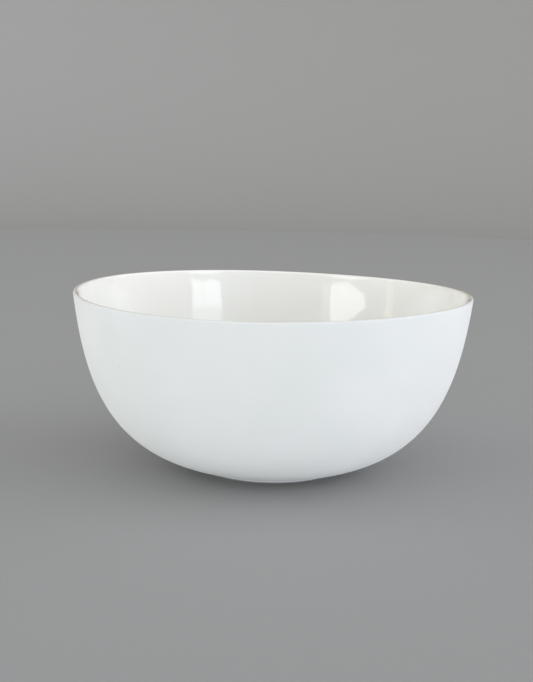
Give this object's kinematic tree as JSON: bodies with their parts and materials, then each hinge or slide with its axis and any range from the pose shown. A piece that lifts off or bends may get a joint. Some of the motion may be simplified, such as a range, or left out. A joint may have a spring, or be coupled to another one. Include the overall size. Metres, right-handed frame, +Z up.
{
  "type": "porcelain serving bowl",
  "caption": "Round deep white serving bowl with steep sides, a thin rounded lip and a low foot ring, gloss inside and satin outside.",
  "frame": {"origin": "middle of the foot ring's standing face, under the middle of the whole bowl", "axes": "+Z up through the bowl's axis, +X to the right and +Y away from a viewer in front; the lip is highest about 26 degrees from +X towards -Y and opposite that"},
  "size_m": [0.23, 0.23, 0.1043],
  "materials": {
    "fired_porcelain": "bare fired porcelain, matt, warm white, smoothed on the standing face",
    "gloss_glaze": "clear high-gloss white glaze, thinner and faintly tan at the lip",
    "satin_glaze": "smooth satin white glaze, slightly cool"
  },
  "bodies": {
    "root": {"porcelain_body": "fired_porcelain", "foot_ring": "fired_porcelain", "inside_glaze": "gloss_glaze", "outside_glaze": "satin_glaze", "base_glaze": "satin_glaze"}
  },
  "joints": []
}
